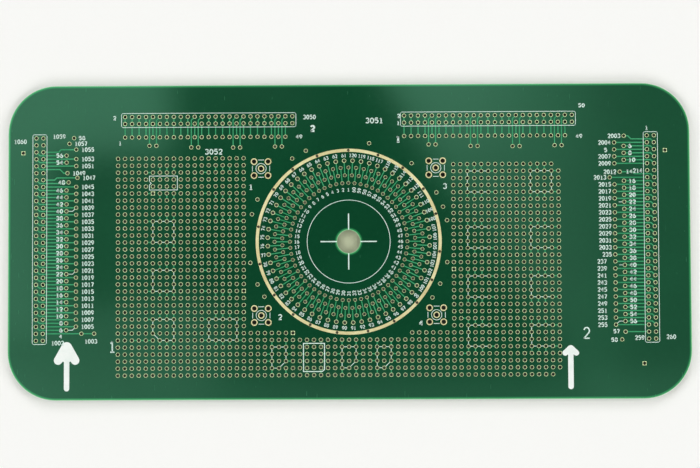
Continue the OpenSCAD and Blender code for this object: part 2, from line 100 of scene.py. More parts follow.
class Turn(Enum):
    """How a number beside a ring of pads is turned."""

    ALONG = "along the ring"
    ACROSS = "along the radius"


class Anchor(Enum):
    """Which end of a number stays at its place, as the share of its length to the left of that place."""

    LEFT = 0.0
    MIDDLE = 0.5
    RIGHT = 1.0


def shade(code: str) -> Colour:
    """A colour for a shader.

    Args:
        code: The colour as six hexadecimal digits, as a screen shows it.

    Returns:
        The same colour in linear light, with full alpha.
    """
    levels = [int(code[i : i + 2], 16) / 255 for i in (0, 2, 4)]
    red, green, blue = (v / 12.92 if v <= 0.04045 else ((v + 0.055) / 1.055) ** 2.4 for v in levels)
    return (red, green, blue, 1.0)


class Wiring:
    """Adds nodes to one tree and joins them."""

    def __init__(self, tree: bpy.types.NodeTree) -> None:
        """Starts at the left of an empty tree."""
        self.tree = tree
        self.column = 0

    def add(self, kind: str, **settings: object) -> bpy.types.Node:
        """Adds a node to the right of the last one.

        Args:
            kind: The node's type name.
            settings: Properties of the node, by name.

        Returns:
            The new node.
        """
        node = self.tree.nodes.new(kind)
        node.location = (self.column, 0)
        self.column += 180
        for name, value in settings.items():
            setattr(node, name, value)
        return node

    def feed(self, socket: bpy.types.NodeSocket, source: Source) -> None:
        """Gives a socket what it takes.

        Args:
            socket: The input.
            source: What it is joined to, where a node stands for its first output, or a plain value.
        """
        if isinstance(source, bpy.types.Node):
            source = source.outputs[0]
        if isinstance(source, bpy.types.NodeSocket):
            self.tree.links.new(source, socket)
        else:
            socket.default_value = source

    def fill(self, node: bpy.types.Node, **sources: Source) -> bpy.types.Node:
        """Feeds a node's inputs by name.

        Args:
            node: The node.
            sources: What each input takes, by its name with an underscore for each space.

        Returns:
            The same node.
        """
        for name, source in sources.items():
            self.feed(node.inputs[name.replace("_", " ")], source)
        return node

    def node(self, kind: str, **sources: Source) -> bpy.types.Node:
        """Adds a node and feeds its inputs by name, as fill does."""
        return self.fill(self.add(kind), **sources)

    def operate(self, kind: str, operation: str, operands: Sequence[Source]) -> bpy.types.Node:
        """One step of arithmetic.

        Args:
            kind: The node's type name.
            operation: What it does.
            operands: What its inputs take, in order.

        Returns:
            The new node.
        """
        node = self.add(kind, operation=operation)
        for socket, operand in zip(node.inputs, operands):
            self.feed(socket, operand)
        return node

    def math(self, operation: str, *operands: Source) -> bpy.types.NodeSocket:
        """One step of arithmetic on numbers: its result's socket."""
        return self.operate("ShaderNodeMath", operation, operands).outputs[0]

    def vector(self, operation: str, *operands: Source) -> bpy.types.Node:
        """One step of arithmetic on vectors: its node, whose outputs are Vector and Value."""
        return self.operate("ShaderNodeVectorMath", operation, operands)

    def length(self, vector: Source) -> bpy.types.NodeSocket:
        """The length of a vector."""
        return self.vector("LENGTH", vector).outputs["Value"]

    def axes(self, vector: Source) -> bpy.types.NodeOutputs:
        """The parts of a vector, named X, Y and Z."""
        return self.node("ShaderNodeSeparateXYZ", Vector=vector).outputs

    def bump(self, height: Source, depth: float) -> bpy.types.Node:
        """A bump, from a relief of 0 to 1 and its full height."""
        return self.node("ShaderNodeBump", Height=height, Strength=1.0, Distance=depth)

    def object_place(self) -> bpy.types.NodeSocket:
        """Where a point lies in its object."""
        return self.add("ShaderNodeTexCoord").outputs["Object"]

    def step(self, value: Source, low: float, high: float) -> bpy.types.NodeSocket:
        """A smooth step.

        Args:
            value: What is compared.
            low: Where the step starts to leave 0.
            high: Where it reaches 1.

        Returns:
            The step's socket. It falls instead of rising where low is over high.
        """
        node = self.add("ShaderNodeMapRange", interpolation_type="SMOOTHSTEP")
        turned = low > high
        limits = (high, low, 1.0, 0.0) if turned else (low, high, 0.0, 1.0)
        for socket, source in zip(node.inputs, (value, *limits)):
            self.feed(socket, source)
        return node.outputs[0]

    def blend(self, share: Source, first: Source, second: Source) -> bpy.types.NodeSocket:
        """A colour between two.

        Args:
            share: 0 for the first colour and 1 for the second.
            first: A colour or its socket.
            second: A colour or its socket.

        Returns:
            The mixed colour's socket.
        """
        node = self.add("ShaderNodeMix", data_type="RGBA")
        colour_sockets = [s for s in node.inputs if s.type == "RGBA"]
        self.feed(node.inputs[0], share)
        self.feed(colour_sockets[0], first)
        self.feed(colour_sockets[1], second)
        return next(s for s in node.outputs if s.type == "RGBA")


@dataclass
class EffectGroup:
    """A shader effect that several finishes share, as a node group with named sockets."""

    name: str
    values: dict[str, float]
    results: tuple[str, ...]
    tree: bpy.types.NodeTree = field(init=False)
    wiring: Wiring = field(init=False)
    given: dict[str, bpy.types.NodeSocket] = field(init=False)
    wanted: dict[str, bpy.types.NodeSocket] = field(init=False)

    def __post_init__(self) -> None:
        """Makes the group's tree with its sockets."""
        self.tree = bpy.data.node_groups.new(self.name, "ShaderNodeTree")
        for name, value in self.values.items():
            socket = self.tree.interface.new_socket(name, in_out="INPUT", socket_type="NodeSocketFloat")
            socket.default_value = value
        for name in self.results:
            self.tree.interface.new_socket(name, in_out="OUTPUT", socket_type="NodeSocketFloat")
        self.wiring = Wiring(self.tree)
        self.given = {s.name: s for s in self.wiring.add("NodeGroupInput").outputs}
        self.wanted = {s.name: s for s in self.wiring.add("NodeGroupOutput").inputs}

    def place(self, wiring: Wiring, **values: float) -> dict[str, bpy.types.NodeSocket]:
        """Puts the group into a material.

        Args:
            wiring: The material's wiring.
            values: The group's inputs by name, with an underscore for each space.

        Returns:
            The group's outputs by name.
        """
        node = wiring.add("ShaderNodeGroup", node_tree=self.tree)
        wiring.fill(node, **values)
        return {s.name: s for s in node.outputs}


def woven_glass() -> EffectGroup:
    """The plain weave of the glass cloth, which shows faintly through the mask.

    Returns:
        The effect, whose height runs from 0 to 1.
    """
    group = EffectGroup("woven_glass", {"Pitch": 0.55 * MM, "Wander": 0.12 * MM}, ("Height",))
    w = group.wiring
    place = w.object_place()
    wobble = w.node("ShaderNodeTexNoise", Vector=place, Scale=260.0, Detail=1.0)
    drift = w.vector("SCALE", wobble.outputs["Color"])
    w.feed(drift.inputs["Scale"], group.given["Wander"])
    axes = w.axes(w.vector("ADD", place, drift))
    waves = []
    for axis in ("X", "Y"):
        turns = w.math("DIVIDE", axes[axis], group.given["Pitch"])
        waves.append(w.math("SINE", w.math("MULTIPLY", turns, math.tau)))
    w.feed(group.wanted["Height"], w.math("MULTIPLY_ADD", w.math("MULTIPLY", *waves), 0.5, 0.5))
    return group


def clouding() -> EffectGroup:
    """Slow and fine changes of tone across a poured or plated surface.

    Returns:
        The effect.
    """
    group = EffectGroup("clouding", {"Size": 20 * MM, "Grain": 0.8 * MM}, ("Cloud", "Fine"))
    w = group.wiring
    place = w.object_place()
    for result, length, detail in (("Cloud", "Size", 3.0), ("Fine", "Grain", 2.0)):
        scale = w.math("DIVIDE", 1.0, group.given[length])
        noise = w.node("ShaderNodeTexNoise", Vector=place, Scale=scale, Detail=detail)
        w.feed(group.wanted[result], noise.outputs["Fac"])
    return group


def handling_marks() -> EffectGroup:
    """Hairline scratches and specks of dust from handling.

    Returns:
        The effect, with 1 on each mark and 0 beside it.
    """
    values = {"Scratch Cover": 0.83, "Dust Size": 0.05, "Dust Cover": 0.02}
    group = EffectGroup("handling_marks", values, ("Scratch", "Dust"))
    w = group.wiring
    place = w.object_place()
    lines = []
    for turn, across, along in ((-1.2, 2600.0, 240.0), (0.9, 2300.0, 200.0)):
        turned = w.node(
            "ShaderNodeMapping", Vector=place, Rotation=(0.0, 0.0, turn), Scale=(across, along, 1.0)
        )
        sliver = w.node("ShaderNodeTexNoise", Vector=turned, Scale=1.0, Detail=0.0)
        lines.append(w.math("GREATER_THAN", sliver.outputs["Fac"], group.given["Scratch Cover"]))
    w.feed(group.wanted["Scratch"], w.math("MAXIMUM", *lines))
    specks = w.node("ShaderNodeTexVoronoi", Vector=place, Scale=420.0)
    chosen = w.node("ShaderNodeSeparateColor", Color=specks.outputs["Color"])
    few = w.math("LESS_THAN", chosen.outputs[0], group.given["Dust Cover"])
    small = w.math("LESS_THAN", specks.outputs["Distance"], group.given["Dust Size"])
    w.feed(group.wanted["Dust"], w.math("MULTIPLY", few, small))
    return group


@dataclass(frozen=True)
class Effects:
    """The shared effects, built once."""

    weave: EffectGroup = field(default_factory=woven_glass)
    clouds: EffectGroup = field(default_factory=clouding)
    marks: EffectGroup = field(default_factory=handling_marks)


@dataclass(frozen=True)
class Finish:
    """A finish made with one Principled shader."""

    coat: Coat

    def begin(self) -> tuple[bpy.types.Material, Wiring, bpy.types.Node]:
        """Makes a material with a Principled shader alone.

        Returns:
            The material, its wiring and its shader.
        """
        material = bpy.data.materials.new(self.coat.value)
        material.use_nodes = True
        material.node_tree.nodes.clear()
        wiring = Wiring(material.node_tree)
        shader = wiring.add("ShaderNodeBsdfPrincipled")
        wiring.node("ShaderNodeOutputMaterial", Surface=shader)
        return material, wiring, shader


@dataclass(frozen=True)
class MaskFinish(Finish):
    """Glossy green mask over woven laminate. It is paler along the board's cut edges, partly as thin
    mask and partly as a painted highlight, with a painted glow of light through the laminate at the very
    edge.
    """

    deep: Colour = shade("094026")
    pale: Colour = shade("0d492c")
    scuffed: Colour = shade("3f8a60")
    # Along the cut edges a paler band, partly the thin mask's own colour and partly a painted highlight,
    # and at the very edge a painted glow of light through the laminate
    rim: Colour = shade("2f9256")
    lip: Colour = shade("9be0a4")
    laminate: Colour = shade("b4c49a")
    # Painted shade: the dark colour of the plated walls of the small holes
    plated_wall: Colour = shade("3a2010")
    rim_width: float = 1.0 * MM
    lip_width: float = 0.3 * MM
    lip_edge: float = 0.05 * MM
    cut_depth: float = 0.2 * MM
    worn_width: float = 14 * MM
    cloud: float = 34 * MM
    grain: float = 1.6 * MM
    weave_pitch: float = 0.55 * MM
    slow_share: float = 0.8
    fine_share: float = 0.3
    weave_share: float = 0.15
    tones: Point = (0.3, 1.0)
    scuff_share: float = 0.3
    roughness: float = 0.06
    rough_spread: float = 0.04
    scuff_rough: float = 0.3
    dust_rough: float = 0.5
    cut_rough: float = 0.5
    gloss: float = 0.72
    relief: float = 0.001 * MM

    def material(
        self, effects: Effects, half: Point, corner_r: float, bore_r: float
    ) -> bpy.types.Material:
        """Wires the finish for a board of one size.

        Args:
            effects: The shared effects.
            half: Half the board's length and width.
            corner_r: The radius of its corners.
            bore_r: The radius of the bare hole in its middle.

        Returns:
            The material.
        """
        material, w, shader = self.begin()
        clouds = effects.clouds.place(w, Size=self.cloud, Grain=self.grain)
        weave = effects.weave.place(w, Pitch=self.weave_pitch)["Height"]
        marks = effects.marks.place(w)
        place = w.object_place()

        tone = w.math("MULTIPLY", clouds["Fine"], self.fine_share)
        tone = w.math("MULTIPLY_ADD", clouds["Cloud"], self.slow_share, tone)
        tone = w.math("MULTIPLY_ADD", weave, self.weave_share, tone)
        mask = w.blend(w.step(tone, *self.tones), self.deep, self.pale)

        inside = self.depth_inside(w, place, half, corner_r)
        flat = w.vector("MULTIPLY", place, (1.0, 1.0, 0.0))
        off_bore = w.math("SUBTRACT", w.length(flat), bore_r)
        inside = w.math("MINIMUM", inside, off_bore)
        worn = w.math("MULTIPLY", marks["Scratch"], w.step(inside, self.worn_width, 0.0))
        mask = w.blend(w.math("MULTIPLY", worn, self.scuff_share), mask, self.scuffed)
        # Paler band along the cut edges, partly thin mask and partly painted highlight, then a painted
        # glow of light at the very edge
        mask = w.blend(w.step(inside, self.rim_width, self.lip_width), mask, self.rim)
        mask = w.blend(w.step(inside, self.lip_width, self.lip_edge), mask, self.lip)

        facing = w.add("ShaderNodeNewGeometry").outputs["True Normal"]
        wall = w.math("LESS_THAN", w.math("ABSOLUTE", w.axes(facing)["Z"]), 0.5)
        # The walls of the small holes take the dark colour, painted shade; the cut walls at the outline
        # and the bore are bare laminate
        cut = w.blend(w.math("LESS_THAN", inside, self.cut_depth), self.plated_wall, self.laminate)
        colour = w.blend(wall, mask, cut)

        rough: Source = self.roughness
        spreads = (self.rough_spread, self.scuff_rough, self.dust_rough, self.cut_rough)
        for where, spread in zip((clouds["Fine"], worn, marks["Dust"], wall), spreads):
            rough = w.math("MULTIPLY_ADD", where, spread, rough)
        w.fill(
            shader,
            Base_Color=colour,
            Roughness=rough,
            Specular_IOR_Level=self.gloss,
            Specular_Tint=MASK_TINT,
            Normal=w.bump(w.math("MULTIPLY_ADD", weave, 0.5, clouds["Fine"]), self.relief),
        )
        return material

    def depth_inside(
        self, w: Wiring, place: bpy.types.NodeSocket, half: Point, corner_r: float
    ) -> bpy.types.NodeSocket:
        """How far inside the board's rounded outline a point lies.

        Args:
            w: The material's wiring.
            place: The point.
            half: Half the board's length and width.
            corner_r: The radius of its corners.

        Returns:
            The distance to the outline, over 0 inside it.
        """
        core = (half[0] - corner_r, half[1] - corner_r, 1.0)
        beyond = w.vector("SUBTRACT", w.vector("ABSOLUTE", place), core)
        corner = w.length(w.vector("MAXIMUM", beyond, (0.0, 0.0, 0.0)))
        axes = w.axes(beyond)
        side = w.math("MINIMUM", w.math("MAXIMUM", axes["X"], axes["Y"]), 0.0)
        return w.math("SUBTRACT", corner_r, w.math("ADD", corner, side))


@dataclass(frozen=True)
class MottledFinish(Finish):
    """Two tones that cloud into each other, with scratches and dust on them."""

    main: Colour
    second: Colour
    cloud: float
    grain: float
    relief: float
    roughness: float
    rough_spread: float = 0.2
    slow_share: float = 0.7
    tones: Point = (0.3, 0.7)
    scratch_cover: float = 0.83
    scratch_rough: float = 0.0
    dust_share: float = 0.0
    metal: float = 0.0
    tint: Colour = WHITE

    def material(self, effects: Effects) -> bpy.types.Material:
        """Wires the finish.

        Args:
            effects: The shared effects.

        Returns:
            The material.
        """
        material, w, shader = self.begin()
        clouds = effects.clouds.place(w, Size=self.cloud, Grain=self.grain)
        fine = w.math("MULTIPLY", clouds["Fine"], 1 - self.slow_share)
        tone = w.math("MULTIPLY_ADD", clouds["Cloud"], self.slow_share, fine)
        colour = w.blend(w.step(tone, *self.tones), self.main, self.second)
        rough = w.math("MULTIPLY_ADD", clouds["Fine"], self.rough_spread, self.roughness)
        if self.dust_share or self.scratch_rough:
            marks = effects.marks.place(w, Scratch_Cover=self.scratch_cover)
            dust = w.math("MULTIPLY", marks["Dust"], self.dust_share)
            colour = w.blend(dust, colour, self.second)
            rough = w.math("MULTIPLY_ADD", marks["Scratch"], self.scratch_rough, rough)
        w.fill(
            shader,
            Base_Color=colour,
            Roughness=rough,
            Metallic=self.metal,
            Specular_Tint=self.tint,
            Normal=w.bump(clouds["Fine"], self.relief),
        )
        return material


def plain_finishes() -> tuple[MottledFinish, ...]:
    """The finishes of all that lies on the laminate or in its holes.

    Returns:
        The finishes, one for each coat but the mask.
    """
    plating = MottledFinish(
        Coat.RING,
        main=shade("eeeab4"),
        second=shade("d5c98f"),
        cloud=5 * MM,
        grain=0.25 * MM,
        relief=0.003 * MM,
        roughness=0.35,
        rough_spread=0.14,
        tones=(0.3, 0.72),
        scratch_cover=0.76,
        scratch_rough=-0.12,
        dust_share=1.0,
        metal=0.3,
    )
    covered_copper = MottledFinish(
        Coat.TRACKS,
        main=shade("2f8f5c"),
        second=shade("49ab76"),
        cloud=9 * MM,
        grain=0.5 * MM,
        relief=0.002 * MM,
        roughness=0.14,
        rough_spread=0.1,
        scratch_rough=0.3,
        tint=MASK_TINT,
    )
    # Painted shade: the plating in the holes is coloured dark brown, for the shade deep inside them
    shaded_barrel_plating = MottledFinish(
        Coat.BARRELS,
        main=shade("4c2410"),
        second=shade("220c06"),
        cloud=1.5 * MM,
        grain=0.2 * MM,
        relief=0.004 * MM,
        roughness=0.4,
        slow_share=0.6,
        metal=0.4,
    )
    ink = MottledFinish(
        Coat.BOLD_INK,
        main=shade("f8fdf8"),
        second=shade("ebf5ee"),
        cloud=3 * MM,
        grain=0.18 * MM,
        relief=0.006 * MM,
        roughness=0.45,
        slow_share=0.5,
        tones=(0.38, 0.66),
        dust_share=0.4,
    )
    return (
        covered_copper,
        plating,
        replace(plating, coat=Coat.PADS, main=shade("ebffc4"), second=shade("dbecae"), metal=0.1),
        shaded_barrel_plating,
        ink,
        replace(ink, coat=Coat.FINE_INK, main=shade("e6fcf2"), second=shade("cfeadd")),
    )


@dataclass(frozen=True)
class Land:
    """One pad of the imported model: its middle, its hole's radius and its own."""

    x: float
    y: float
    hole_r: float
    land_r: float


def corners_of(mesh: bpy.types.Mesh) -> np.ndarray:
    """Reads the corners of a mesh.

    Args:
        mesh: The mesh.

    Returns:
        The place of each corner, one in each row.
    """
    spots = np.zeros(len(mesh.vertices) * 3, np.float32)
    mesh.vertices.foreach_get("co", spots)
    return spots.reshape(-1, 3)


def middle_and_reach(rim: np.ndarray) -> tuple[float, float, float]:
    """Measures a hole or a pad from the points on its rim.

    Args:
        rim: The flat points, one in each row.

    Returns:
        X and Y of the middle of the box round them, and half its longer side.
    """
    low, high = rim.min(axis=0), rim.max(axis=0)
    x, y = (low + high) / 2
    return float(x), float(y), float((high - low).max() / 2)


def lands_of(node: bpy.types.Object) -> list[Land]:
    """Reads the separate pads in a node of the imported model.

    Args:
        node: The node's object. Its mesh is only read.

    Returns:
        The pads, from the top row down and from left to right.
    """
    mesh = node.data
    mesh.calc_loop_triangles()
    corners = np.zeros(len(mesh.loop_triangles) * 3, np.int32)
    mesh.loop_triangles.foreach_get("vertices", corners)
    weld = 0.001 * MM
    points, shared = np.unique(np.round(corners_of(mesh) / weld), axis=0, return_inverse=True)
    points = points * weld
    triangles = shared.reshape(-1)[corners].reshape(-1, 3)
    label = np.arange(len(points))
    while True:
        lower = label.copy()
        np.minimum.at(lower, triangles.reshape(-1), np.repeat(label[triangles].min(axis=1), 3))
        lower = lower[lower]
        if (lower == label).all():
            break
        label = lower
    lands = []
    for name in np.unique(label):
        rim = points[label == name][:, :2]
        x, y, land_r = middle_and_reach(rim)
        lands.append(Land(x, y, float(np.hypot(*(rim - (x, y)).T).min()), land_r))
    row = 0.5 * MM
    return sorted(lands, key=lambda land: (-round(land.y / row), land.x))


def vias_of(ring: bpy.types.Object) -> list[Land]:
    """Reads the holes round a ring-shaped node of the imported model.

    Args:
        ring: The node's object, about the origin. Its mesh is only read.

    Returns:
        The holes, with back lands as wide as the ring.
    """
    edge, apart = 0.05 * MM, 2 * MM
    flat = corners_of(ring.data)[:, :2]
    reach = np.hypot(*flat.T)
    rims = flat[(reach > reach.min() + edge) & (reach < reach.max() - edge)]
    rims = rims[np.argsort(np.arctan2(rims[:, 1], rims[:, 0]))]
    group = np.cumsum(np.hypot(*(rims - np.roll(rims, 1, axis=0)).T) > apart)
    group[group == 0] = group[-1]
    land_r = float(reach.max() - reach.min()) / 2
    return [Land(*middle_and_reach(rims[group == number]), land_r) for number in np.unique(group)]


def linked(name: str, data: bpy.types.ID) -> bpy.types.Object:
    """Puts an object into the scene.

    Args:
        name: The object's name.
        data: Its mesh, lamp or camera.

    Returns:
        The new object.
    """
    thing = bpy.data.objects.new(name, data)
    bpy.context.scene.collection.objects.link(thing)
    return thing


def grown(
    name: str,
    spots: list[Spot],
    edges: list[tuple[int, int]],
    tree: bpy.types.NodeTree,
    inputs: dict[str, object],
) -> bpy.types.Object:
    """Runs a geometry tree over points and edges, and keeps the result as a plain mesh.

    Args:
        name: The new piece's name.
        spots: The points that the tree starts from.
        edges: The pairs of points that are joined.
        tree: The geometry tree.
        inputs: The tree's inputs by name.

    Returns:
        The new piece, with no modifier, in the scene.
    """
    start = bpy.data.meshes.new(name)
    start.from_pydata(spots, edges, [])
    seed = linked(name + "_seed", start)
    modifier = seed.modifiers.new(tree.name, "NODES")
    modifier.node_group = tree
    for item in tree.interface.items_tree:
        if item.item_type == "SOCKET" and item.in_out == "INPUT" and item.name in inputs:
            modifier[item.identifier] = inputs[item.name]
    bpy.context.view_layer.update()
    graph = bpy.context.evaluated_depsgraph_get()
    mesh = bpy.data.meshes.new_from_object(seed.evaluated_get(graph), depsgraph=graph)
    mesh.name = name
    bpy.data.objects.remove(seed)
    bpy.data.meshes.remove(start)
    shell = bmesh.new()
    shell.from_mesh(mesh)
    bmesh.ops.recalc_face_normals(shell, faces=shell.faces)
    shell.to_mesh(mesh)
    shell.free()
    return linked(name, mesh)


def tree_with_inputs(
    name: str, sizes: dict[str, str]
) -> tuple[bpy.types.NodeTree, Wiring, dict[str, bpy.types.NodeSocket], bpy.types.NodeSocket]:
    """Makes an empty geometry tree.

    Args:
        name: The tree's name.
        sizes: The socket type of each named input after the geometry.

    Returns:
        The tree, its wiring, its inputs by name and the socket of its result.
    """
    tree = bpy.data.node_groups.new(name, "GeometryNodeTree")
    tree.interface.new_socket("Start", in_out="INPUT", socket_type="NodeSocketGeometry")
    for size, kind in sizes.items():
        tree.interface.new_socket(size, in_out="INPUT", socket_type=kind)
    tree.interface.new_socket("Result", in_out="OUTPUT", socket_type="NodeSocketGeometry")
    wiring = Wiring(tree)
    given = {s.name: s for s in wiring.add("NodeGroupInput").outputs}
    return tree, wiring, given, wiring.add("NodeGroupOutput").inputs[0]


LENGTH = "NodeSocketFloat"
COUNT = "NodeSocketInt"
FINISH = "NodeSocketMaterial"


def hoop(
    w: Wiring, radius: Source, width: Source, height: Source, middle: Source, sides: Source
) -> bpy.types.Node:
    """A flat or tall hoop round the Z axis.

    Args:
        w: The geometry tree's wiring.
        radius: The radius of the middle of the hoop's section.
        width: The section's width along the radius.
        height: The section's height along Z.
        middle: Z of the section's middle.
        sides: The number of flats round the hoop.

    Returns:
        The node that gives the hoop.
    """
    path = w.node("GeometryNodeCurvePrimitiveCircle", Resolution=sides, Radius=radius)
    section = w.node("GeometryNodeCurvePrimitiveQuadrilateral", Width=width, Height=height)
    swept = w.node("GeometryNodeCurveToMesh", Curve=path, Profile_Curve=section)
    lift = w.node("ShaderNodeCombineXYZ", Z=middle)
    return w.node("GeometryNodeTransform", Geometry=swept, Translation=lift)


def eyelet_tree() -> bpy.types.NodeTree:
    """A tree that sets a plated barrel with its back land at every point, whose top end lies over the
    pad as a ring of painted shade round the hole.

    Returns:
        The geometry tree.
    """
    sizes = {
        "Hole Radius": LENGTH,
        "Land Radius": LENGTH,
        "Barrel Height": LENGTH,
        "Barrel Shoulder": LENGTH,
        "Barrel Lining": LENGTH,
        "Back Thickness": LENGTH,
        "Sides": COUNT,
        "Barrel Finish": FINISH,
        "Land Finish": FINISH,
    }
    tree, w, given, result = tree_with_inputs("plated_eyelets", sizes)
    # The wall reaches out over the pad by the shade ring's width: a dark ring of painted shade round the
    # hole
    wall = w.math("ADD", given["Barrel Shoulder"], given["Barrel Lining"])
    overlap = w.math("SUBTRACT", given["Barrel Shoulder"], given["Barrel Lining"])
    wall_middle = w.math("MULTIPLY_ADD", overlap, 0.5, given["Hole Radius"])
    barrel_middle = w.math("MULTIPLY", given["Barrel Height"], 0.5)
    barrel = hoop(w, wall_middle, wall, given["Barrel Height"], barrel_middle, given["Sides"])
    land_middle = w.math("MULTIPLY", w.math("ADD", given["Hole Radius"], given["Land Radius"]), 0.5)
    land_width = w.math("SUBTRACT", given["Land Radius"], given["Hole Radius"])
    land_z = w.math("MULTIPLY", given["Back Thickness"], -0.5)
    back = hoop(w, land_middle, land_width, given["Back Thickness"], land_z, given["Sides"])
    eyelet = w.add("GeometryNodeJoinGeometry")
    w.feed(eyelet.inputs[0], barrel)
    w.feed(eyelet.inputs[0], back)
    placed = w.node("GeometryNodeInstanceOnPoints", Points=given["Start"], Instance=eyelet)
    real = w.node("GeometryNodeRealizeInstances", Geometry=placed)
    below = w.math("LESS_THAN", w.axes(w.add("GeometryNodeInputPosition"))["Z"], 0.0)
    lined = w.node("GeometryNodeSetMaterial", Geometry=real, Material=given["Barrel Finish"])
    finish = given["Land Finish"]
    dressed = w.node("GeometryNodeSetMaterial", Geometry=lined, Selection=below, Material=finish)
    w.feed(result, dressed)
    return tree


def ink_tree() -> bpy.types.NodeTree:
    """A tree that lays a flat bead of ink along every stroke.

    Returns:
        The geometry tree.
    """
    sizes = {"Stroke Width": LENGTH, "Ink Thickness": LENGTH, "Finish": FINISH}
    tree, w, given, result = tree_with_inputs("ink_strokes", sizes)
    path = w.node("GeometryNodeMeshToCurve", Mesh=given["Start"])
    level = w.fill(w.add("GeometryNodeSetCurveNormal", mode="Z_UP"), Curve=path)
    width, height = given["Stroke Width"], given["Ink Thickness"]
    section = w.node("GeometryNodeCurvePrimitiveQuadrilateral", Width=width, Height=height)
    bead = w.node("GeometryNodeCurveToMesh", Curve=level, Profile_Curve=section, Fill_Caps=True)
    real = w.node("GeometryNodeRealizeInstances", Geometry=bead)
    w.feed(result, w.node("GeometryNodeSetMaterial", Geometry=real, Material=given["Finish"]))
    return tree


@dataclass
class PlatedHoles:
    """The plated walls and back lands behind one group of pads, the walls dark as painted shade in the
    holes, with a ring of it over each pad round the hole.
    """

    name: str
    lands: list[Land]
    land_top: float
    # How far the dark top of the wall lies over the pad round the hole, as painted shade
    shoulder: float = 0.08 * MM
    sides: int = 12
    lining: float = 0.012 * MM
    back_t: float = 0.012 * MM
    proud: float = 0.004 * MM

    def make(
        self, tree: bpy.types.NodeTree, barrel: bpy.types.Material, plating: bpy.types.Material
    ) -> bpy.types.Object:
        """Builds the group.

        Args:
            tree: The tree that sets eyelets on points.
            barrel: The finish of the walls, dark as painted shade.
            plating: The finish of the back lands.

        Returns:
            The new piece.
        """
        spots = [(land.x, land.y, 0.0) for land in self.lands]
        sizes = {
            "Hole Radius": fmean(land.hole_r for land in self.lands),
            "Land Radius": fmean(land.land_r for land in self.lands),
            "Barrel Height": self.land_top + self.proud,
            "Barrel Shoulder": self.shoulder,
            "Barrel Lining": self.lining,
            "Back Thickness": self.back_t,
            "Sides": self.sides,
            "Barrel Finish": barrel,
            "Land Finish": plating,
        }
        return grown(self.name, spots, [], tree, sizes)


def arc(middle: Point, reach: Point, start: float, stop: float, steps: int) -> Stroke:
    """Points along part of an oval.

    Args:
        middle: The oval's middle.
        reach: Its half width and half height.
        start: The first angle in degrees, counter-clockwise from the right.
        stop: The last angle.
        steps: The number of chords.

    Returns:
        The points.
    """
    angles = [math.radians(start + (stop - start) * i / steps) for i in range(steps + 1)]
    return [(middle[0] + reach[0] * math.cos(a), middle[1] + reach[1] * math.sin(a)) for a in angles]


def digit_strokes() -> dict[str, list[Stroke]]:
    """The pen strokes of the ten digits.

    Returns:
        The strokes of each digit, in a box of width 1 and height 1.
    """
    six = [arc((0.5, 0.3), (0.46, 0.3), 180, -180, 10), arc((0.96, 0.35), (0.92, 0.65), 180, 108, 4)]
    return {
        "0": [arc((0.5, 0.5), (0.46, 0.5), 90, 450, 12)],
        "1": [[(0.24, 0.78), (0.54, 1.0)], [(0.54, 1.0), (0.54, 0.0)], [(0.2, 0.0), (0.88, 0.0)]],
        "2": [arc((0.5, 0.7), (0.45, 0.3), 165, -38, 7) + [(0.06, 0.0)], [(0.02, 0.0), (0.98, 0.0)]],
        "3": [
            arc((0.47, 0.76), (0.42, 0.24), 155, -90, 7),
            arc((0.47, 0.26), (0.47, 0.26), 90, -155, 7),
        ],
        "4": [[(0.74, 0.0), (0.74, 1.0)], [(0.74, 1.0), (0.04, 0.3)], [(0.0, 0.3), (1.0, 0.3)]],
        "5": [
            [(0.9, 1.0), (0.1, 1.0)],
            [(0.14, 1.0), (0.1, 0.52)],
            arc((0.48, 0.33), (0.46, 0.33), 140, -145, 8),
        ],
        "6": six,
        "7": [[(0.04, 1.0), (1.0, 1.0)], [(0.94, 1.0), (0.36, 0.0)]],
        "8": [
            arc((0.5, 0.76), (0.38, 0.24), 90, 450, 9),
            arc((0.5, 0.27), (0.46, 0.27), 90, 450, 10),
        ],
        "9": [[(1 - x, 1 - y) for x, y in stroke] for stroke in six],
    }


@dataclass(frozen=True)
class Lettering:
    """One size of printed digit."""

    height: float
    width: float
    gap: float
    pen: float

    def length(self, text: str) -> float:
        """The length of a number."""
        return len(text) * self.width + (len(text) - 1) * self.gap


@dataclass(frozen=True)
class Label:
    """One printed number.

    Its place is the middle of its height, at the end that the anchor names. Its turn is in degrees,
    counter-clockwise.
    """

    text: str
    x: float
    y: float
    turn: float = 0.0
    anchor: Anchor = Anchor.MIDDLE

    def strokes(self, lettering: Lettering, digits: dict[str, list[Stroke]]) -> list[Stroke]:
        """The number's strokes in their place on the board.

        Args:
            lettering: The size of the digits.
            digits: The strokes of each digit.

        Returns:
            The strokes, in metres.
        """
        cos, sin = math.cos(math.radians(self.turn)), math.sin(math.radians(self.turn))
        start = -self.anchor.value * lettering.length(self.text)
        placed = []
        for i, digit in enumerate(self.text):
            left = start + i * (lettering.width + lettering.gap)
            for stroke in digits[digit]:
                flat = [
                    (left + px * lettering.width, (py - 0.5) * lettering.height) for px, py in stroke
                ]
                placed.append(
                    [(self.x + u * cos - v * sin, self.y + u * sin + v * cos) for u, v in flat]
                )
        return placed


